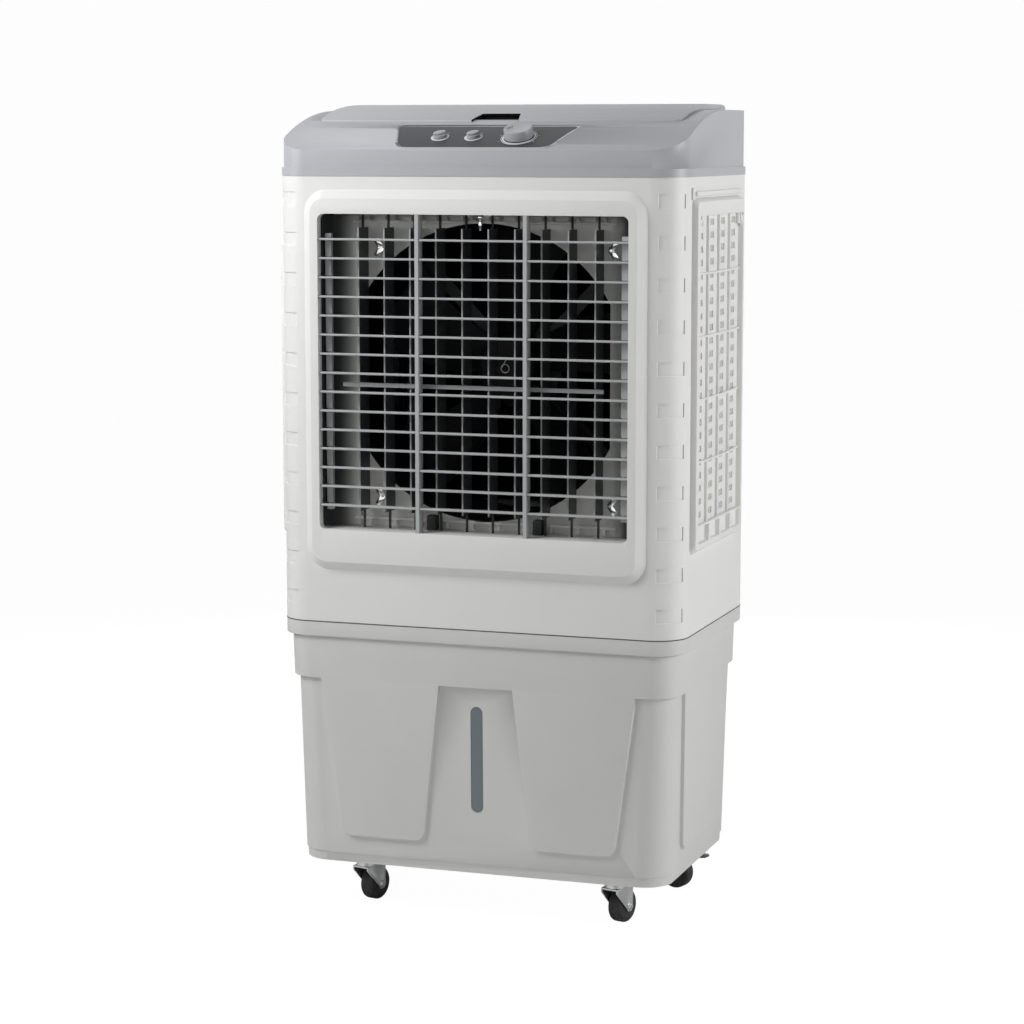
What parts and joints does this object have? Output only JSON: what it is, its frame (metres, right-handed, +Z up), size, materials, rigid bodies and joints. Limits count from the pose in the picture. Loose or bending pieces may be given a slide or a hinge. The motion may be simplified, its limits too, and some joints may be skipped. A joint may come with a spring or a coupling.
{
  "type": "evaporative air cooler",
  "caption": "Upright evaporative air cooler on swivel casters: tapered water tank, louvred axial-fan outlet, pads behind side and rear grilles, hinged lid and rotary controls.",
  "frame": {"origin": "on the floor under the middle of the housing", "axes": "+X to the right seen from the front, -Y towards the front, +Z up"},
  "size_m": [0.638, 0.408, 1.196],
  "materials": {
    "tank_plastic": "satin grey",
    "housing_plastic": "satin warm white",
    "cover_plastic": "satin cool grey",
    "panel_plastic": "satin dark grey",
    "louvre_plastic": "satin grey",
    "knob_plastic": "semi-gloss grey",
    "window_plastic": "clear blue-grey",
    "fan_plastic": "satin black",
    "shroud_plastic": "satin white",
    "dark_plastic": "black",
    "motor_casting": "cast",
    "cooling_paper": "corrugated cellulose",
    "zinc_steel": "zinc plated",
    "wheel_rubber": "matt black",
    "pedal_plastic": "dark grey-green"
  },
  "bodies": {
    "casing": {"water_tank": "tank_plastic", "level_window": "window_plastic", "drain_plug": "dark_plastic", "housing_shell": "housing_plastic", "outlet_bezel": "housing_plastic", "fan_shroud": "shroud_plastic", "fan_motor": "motor_casting", "cooling_pads": "cooling_paper", "side_grille_right": "housing_plastic", "side_grille_left": "housing_plastic", "rear_grille": "housing_plastic", "water_distributor": "shroud_plastic", "water_pump": "dark_plastic", "riser_hose": "dark_plastic", "top_cover": "cover_plastic", "control_panel": "panel_plastic", "cable_gland": "dark_plastic", "caster_plates": "zinc_steel"},
    "lid": {"top_lid": "cover_plastic"},
    "fan_rotor": {"fan": "fan_plastic"},
    "tie_bars": {"louvre_tie_bars": "louvre_plastic"},
    "link_bar": {"vane_link_bar": "louvre_plastic"},
    "speed_knob": {"speed_knob": "knob_plastic"},
    "swing_switch_knob": {"swing_switch_knob": "knob_plastic"},
    "pump_switch_knob": {"pump_switch_knob": "knob_plastic"},
    "louvre_blade_01": {"louvre_blade_01": "louvre_plastic"},
    "louvre_blade_02": {"louvre_blade_02": "louvre_plastic"},
    "louvre_blade_03": {"louvre_blade_03": "louvre_plastic"},
    "louvre_blade_04": {"louvre_blade_04": "louvre_plastic"},
    "louvre_blade_05": {"louvre_blade_05": "louvre_plastic"},
    "louvre_blade_06": {"louvre_blade_06": "louvre_plastic"},
    "louvre_blade_07": {"louvre_blade_07": "louvre_plastic"},
    "louvre_blade_08": {"louvre_blade_08": "louvre_plastic"},
    "louvre_blade_09": {"louvre_blade_09": "louvre_plastic"},
    "louvre_blade_10": {"louvre_blade_10": "louvre_plastic"},
    "louvre_blade_11": {"louvre_blade_11": "louvre_plastic"},
    "louvre_blade_12": {"louvre_blade_12": "louvre_plastic"},
    "louvre_blade_13": {"louvre_blade_13": "louvre_plastic"},
    "louvre_blade_14": {"louvre_blade_14": "louvre_plastic"},
    "louvre_blade_15": {"louvre_blade_15": "louvre_plastic"},
    "swing_vane_01": {"swing_vane_01": "louvre_plastic"},
    "swing_vane_02": {"swing_vane_02": "louvre_plastic"},
    "swing_vane_03": {"swing_vane_03": "louvre_plastic"},
    "swing_vane_04": {"swing_vane_04": "louvre_plastic"},
    "swing_vane_05": {"swing_vane_05": "louvre_plastic"},
    "swing_vane_06": {"swing_vane_06": "louvre_plastic"},
    "swing_vane_07": {"swing_vane_07": "louvre_plastic"},
    "swing_vane_08": {"swing_vane_08": "louvre_plastic"},
    "swing_vane_09": {"swing_vane_09": "louvre_plastic"},
    "swing_vane_10": {"swing_vane_10": "louvre_plastic"},
    "swivel_front_left": {"caster_fork_front_left": "zinc_steel"},
    "wheel_front_left": {"caster_wheel_front_left": "wheel_rubber"},
    "swivel_front_right": {"caster_fork_front_right": "zinc_steel"},
    "wheel_front_right": {"caster_wheel_front_right": "wheel_rubber"},
    "swivel_rear_left": {"caster_fork_rear_left": "zinc_steel"},
    "wheel_rear_left": {"caster_wheel_rear_left": "wheel_rubber"},
    "pedal_rear_left": {"brake_pedal_rear_left": "pedal_plastic"},
    "swivel_rear_right": {"caster_fork_rear_right": "zinc_steel"},
    "wheel_rear_right": {"caster_wheel_rear_right": "wheel_rubber"},
    "pedal_rear_right": {"brake_pedal_rear_right": "pedal_plastic"}
  },
  "joints": [
    {"name": "lid_hinge", "type": "hinge", "parent": "casing", "child": "lid", "pos_m": [0, 0.17, 1.1916], "axis": [-1, 0, 0], "range_deg": [0, 75]},
    {"name": "speed_knob_turn", "type": "hinge", "parent": "casing", "child": "speed_knob", "pos_m": [0.057, -0.154, 1.14746], "axis": [0, -0.3959, 0.9183], "range_deg": [0, 240]},
    {"name": "swing_switch_knob_turn", "type": "hinge", "parent": "casing", "child": "swing_switch_knob", "pos_m": [-0.063, -0.154, 1.14746], "axis": [0, -0.3959, 0.9183], "range_deg": [0, 60]},
    {"name": "pump_switch_knob_turn", "type": "hinge", "parent": "casing", "child": "pump_switch_knob", "pos_m": [-0.012, -0.154, 1.14746], "axis": [0, -0.3959, 0.9183], "range_deg": [0, 60]},
    {"name": "fan_spin", "type": "hinge", "parent": "casing", "child": "fan_rotor", "pos_m": [0, 0, 0.808], "axis": [0, 1, 0], "continuous": true},
    {"name": "louvre_blade_01_tilt", "type": "hinge", "parent": "casing", "child": "louvre_blade_01", "pos_m": [0, -0.1895, 0.6136], "axis": [1, 0, 0], "range_deg": [-22, 22]},
    {"name": "louvre_blade_02_tilt", "type": "hinge", "parent": "casing", "child": "louvre_blade_02", "pos_m": [0, -0.1895, 0.6413], "axis": [1, 0, 0], "range_deg": [-22, 22]},
    {"name": "louvre_blade_03_tilt", "type": "hinge", "parent": "casing", "child": "louvre_blade_03", "pos_m": [0, -0.1895, 0.669], "axis": [1, 0, 0], "range_deg": [-22, 22]},
    {"name": "louvre_blade_04_tilt", "type": "hinge", "parent": "casing", "child": "louvre_blade_04", "pos_m": [0, -0.1895, 0.6967], "axis": [1, 0, 0], "range_deg": [-22, 22]},
    {"name": "louvre_blade_05_tilt", "type": "hinge", "parent": "casing", "child": "louvre_blade_05", "pos_m": [0, -0.1895, 0.7244], "axis": [1, 0, 0], "range_deg": [-22, 22]},
    {"name": "louvre_blade_06_tilt", "type": "hinge", "parent": "casing", "child": "louvre_blade_06", "pos_m": [0, -0.1895, 0.7521], "axis": [1, 0, 0], "range_deg": [-22, 22]},
    {"name": "louvre_blade_07_tilt", "type": "hinge", "parent": "casing", "child": "louvre_blade_07", "pos_m": [0, -0.1895, 0.7798], "axis": [1, 0, 0], "range_deg": [-22, 22]},
    {"name": "louvre_blade_08_tilt", "type": "hinge", "parent": "casing", "child": "louvre_blade_08", "pos_m": [0, -0.1895, 0.8075], "axis": [1, 0, 0], "range_deg": [-22, 22]},
    {"name": "louvre_blade_09_tilt", "type": "hinge", "parent": "casing", "child": "louvre_blade_09", "pos_m": [0, -0.1895, 0.8352], "axis": [1, 0, 0], "range_deg": [-22, 22]},
    {"name": "louvre_blade_10_tilt", "type": "hinge", "parent": "casing", "child": "louvre_blade_10", "pos_m": [0, -0.1895, 0.8629], "axis": [1, 0, 0], "range_deg": [-22, 22]},
    {"name": "louvre_blade_11_tilt", "type": "hinge", "parent": "casing", "child": "louvre_blade_11", "pos_m": [0, -0.1895, 0.8906], "axis": [1, 0, 0], "range_deg": [-22, 22]},
    {"name": "louvre_blade_12_tilt", "type": "hinge", "parent": "casing", "child": "louvre_blade_12", "pos_m": [0, -0.1895, 0.9183], "axis": [1, 0, 0], "range_deg": [-22, 22]},
    {"name": "louvre_blade_13_tilt", "type": "hinge", "parent": "casing", "child": "louvre_blade_13", "pos_m": [0, -0.1895, 0.946], "axis": [1, 0, 0], "range_deg": [-22, 22]},
    {"name": "louvre_blade_14_tilt", "type": "hinge", "parent": "casing", "child": "louvre_blade_14", "pos_m": [0, -0.1895, 0.9737], "axis": [1, 0, 0], "range_deg": [-22, 22]},
    {"name": "louvre_blade_15_tilt", "type": "hinge", "parent": "casing", "child": "louvre_blade_15", "pos_m": [0, -0.1895, 1.0014], "axis": [1, 0, 0], "range_deg": [-22, 22]},
    {"name": "tie_bars_slide", "type": "slide", "parent": "casing", "child": "tie_bars", "axis": [0, 0, 1], "range_m": [-0.00195, 0.00195]},
    {"name": "swing_vane_01_swing", "type": "hinge", "parent": "casing", "child": "swing_vane_01", "pos_m": [-0.18, -0.163, 0.808], "axis": [0, 0, 1], "range_deg": [-25, 25]},
    {"name": "swing_vane_02_swing", "type": "hinge", "parent": "casing", "child": "swing_vane_02", "pos_m": [-0.14, -0.163, 0.808], "axis": [0, 0, 1], "range_deg": [-25, 25]},
    {"name": "swing_vane_03_swing", "type": "hinge", "parent": "casing", "child": "swing_vane_03", "pos_m": [-0.1, -0.163, 0.808], "axis": [0, 0, 1], "range_deg": [-25, 25]},
    {"name": "swing_vane_04_swing", "type": "hinge", "parent": "casing", "child": "swing_vane_04", "pos_m": [-0.06, -0.163, 0.808], "axis": [0, 0, 1], "range_deg": [-25, 25]},
    {"name": "swing_vane_05_swing", "type": "hinge", "parent": "casing", "child": "swing_vane_05", "pos_m": [-0.02, -0.163, 0.808], "axis": [0, 0, 1], "range_deg": [-25, 25]},
    {"name": "swing_vane_06_swing", "type": "hinge", "parent": "casing", "child": "swing_vane_06", "pos_m": [0.02, -0.163, 0.808], "axis": [0, 0, 1], "range_deg": [-25, 25]},
    {"name": "swing_vane_07_swing", "type": "hinge", "parent": "casing", "child": "swing_vane_07", "pos_m": [0.06, -0.163, 0.808], "axis": [0, 0, 1], "range_deg": [-25, 25]},
    {"name": "swing_vane_08_swing", "type": "hinge", "parent": "casing", "child": "swing_vane_08", "pos_m": [0.1, -0.163, 0.808], "axis": [0, 0, 1], "range_deg": [-25, 25]},
    {"name": "swing_vane_09_swing", "type": "hinge", "parent": "casing", "child": "swing_vane_09", "pos_m": [0.14, -0.163, 0.808], "axis": [0, 0, 1], "range_deg": [-25, 25]},
    {"name": "swing_vane_10_swing", "type": "hinge", "parent": "casing", "child": "swing_vane_10", "pos_m": [0.18, -0.163, 0.808], "axis": [0, 0, 1], "range_deg": [-25, 25]},
    {"name": "link_bar_slide", "type": "slide", "parent": "casing", "child": "link_bar", "axis": [1, 0, 0], "range_m": [-0.00697, 0.00697]},
    {"name": "swivel_front_left", "type": "hinge", "parent": "casing", "child": "swivel_front_left", "pos_m": [-0.196, -0.124, 0.06], "axis": [0, 0, 1], "continuous": true},
    {"name": "wheel_front_left_roll", "type": "hinge", "parent": "swivel_front_left", "child": "wheel_front_left", "pos_m": [-0.19082, -0.10468, 0.025], "axis": [-0.9659, 0.2588, 0], "continuous": true},
    {"name": "swivel_front_right", "type": "hinge", "parent": "casing", "child": "swivel_front_right", "pos_m": [0.196, -0.124, 0.06], "axis": [0, 0, 1], "continuous": true},
    {"name": "wheel_front_right_roll", "type": "hinge", "parent": "swivel_front_right", "child": "wheel_front_right", "pos_m": [0.20118, -0.10468, 0.025], "axis": [-0.9659, 0.2588, 0], "continuous": true},
    {"name": "swivel_rear_left", "type": "hinge", "parent": "casing", "child": "swivel_rear_left", "pos_m": [-0.206, 0.112, 0.06], "axis": [0, 0, 1], "continuous": true},
    {"name": "wheel_rear_left_roll", "type": "hinge", "parent": "swivel_rear_left", "child": "wheel_rear_left", "pos_m": [-0.22532, 0.10682, 0.025], "axis": [0.2588, -0.9659, 0], "continuous": true},
    {"name": "pedal_rear_left_press", "type": "hinge", "parent": "swivel_rear_left", "child": "pedal_rear_left", "pos_m": [-0.24077, 0.10268, 0.0525], "axis": [0.2588, -0.9659, 0], "range_deg": [-12, 0]},
    {"name": "swivel_rear_right", "type": "hinge", "parent": "casing", "child": "swivel_rear_right", "pos_m": [0.206, 0.112, 0.06], "axis": [0, 0, 1], "continuous": true},
    {"name": "wheel_rear_right_roll", "type": "hinge", "parent": "swivel_rear_right", "child": "wheel_rear_right", "pos_m": [0.22532, 0.10682, 0.025], "axis": [0.2588, 0.9659, 0], "continuous": true},
    {"name": "pedal_rear_right_press", "type": "hinge", "parent": "swivel_rear_right", "child": "pedal_rear_right", "pos_m": [0.24077, 0.10268, 0.0525], "axis": [0.2588, 0.9659, 0], "range_deg": [-12, 0]}
  ],
  "couplings": [
    {"joint": "louvre_blade_01_tilt", "follows": "tie_bars_slide", "rad_per_m": 197.24},
    {"joint": "louvre_blade_02_tilt", "follows": "tie_bars_slide", "rad_per_m": 197.24},
    {"joint": "louvre_blade_03_tilt", "follows": "tie_bars_slide", "rad_per_m": 197.24},
    {"joint": "louvre_blade_04_tilt", "follows": "tie_bars_slide", "rad_per_m": 197.24},
    {"joint": "louvre_blade_05_tilt", "follows": "tie_bars_slide", "rad_per_m": 197.24},
    {"joint": "louvre_blade_06_tilt", "follows": "tie_bars_slide", "rad_per_m": 197.24},
    {"joint": "louvre_blade_07_tilt", "follows": "tie_bars_slide", "rad_per_m": 197.24},
    {"joint": "louvre_blade_08_tilt", "follows": "tie_bars_slide", "rad_per_m": 197.24},
    {"joint": "louvre_blade_09_tilt", "follows": "tie_bars_slide", "rad_per_m": 197.24},
    {"joint": "louvre_blade_10_tilt", "follows": "tie_bars_slide", "rad_per_m": 197.24},
    {"joint": "louvre_blade_11_tilt", "follows": "tie_bars_slide", "rad_per_m": 197.24},
    {"joint": "louvre_blade_12_tilt", "follows": "tie_bars_slide", "rad_per_m": 197.24},
    {"joint": "louvre_blade_13_tilt", "follows": "tie_bars_slide", "rad_per_m": 197.24},
    {"joint": "louvre_blade_14_tilt", "follows": "tie_bars_slide", "rad_per_m": 197.24},
    {"joint": "louvre_blade_15_tilt", "follows": "tie_bars_slide", "rad_per_m": 197.24},
    {"joint": "swing_vane_01_swing", "follows": "link_bar_slide", "rad_per_m": 62.58},
    {"joint": "swing_vane_02_swing", "follows": "link_bar_slide", "rad_per_m": 62.58},
    {"joint": "swing_vane_03_swing", "follows": "link_bar_slide", "rad_per_m": 62.58},
    {"joint": "swing_vane_04_swing", "follows": "link_bar_slide", "rad_per_m": 62.58},
    {"joint": "swing_vane_05_swing", "follows": "link_bar_slide", "rad_per_m": 62.58},
    {"joint": "swing_vane_06_swing", "follows": "link_bar_slide", "rad_per_m": 62.58},
    {"joint": "swing_vane_07_swing", "follows": "link_bar_slide", "rad_per_m": 62.58},
    {"joint": "swing_vane_08_swing", "follows": "link_bar_slide", "rad_per_m": 62.58},
    {"joint": "swing_vane_09_swing", "follows": "link_bar_slide", "rad_per_m": 62.58},
    {"joint": "swing_vane_10_swing", "follows": "link_bar_slide", "rad_per_m": 62.58}
  ]
}
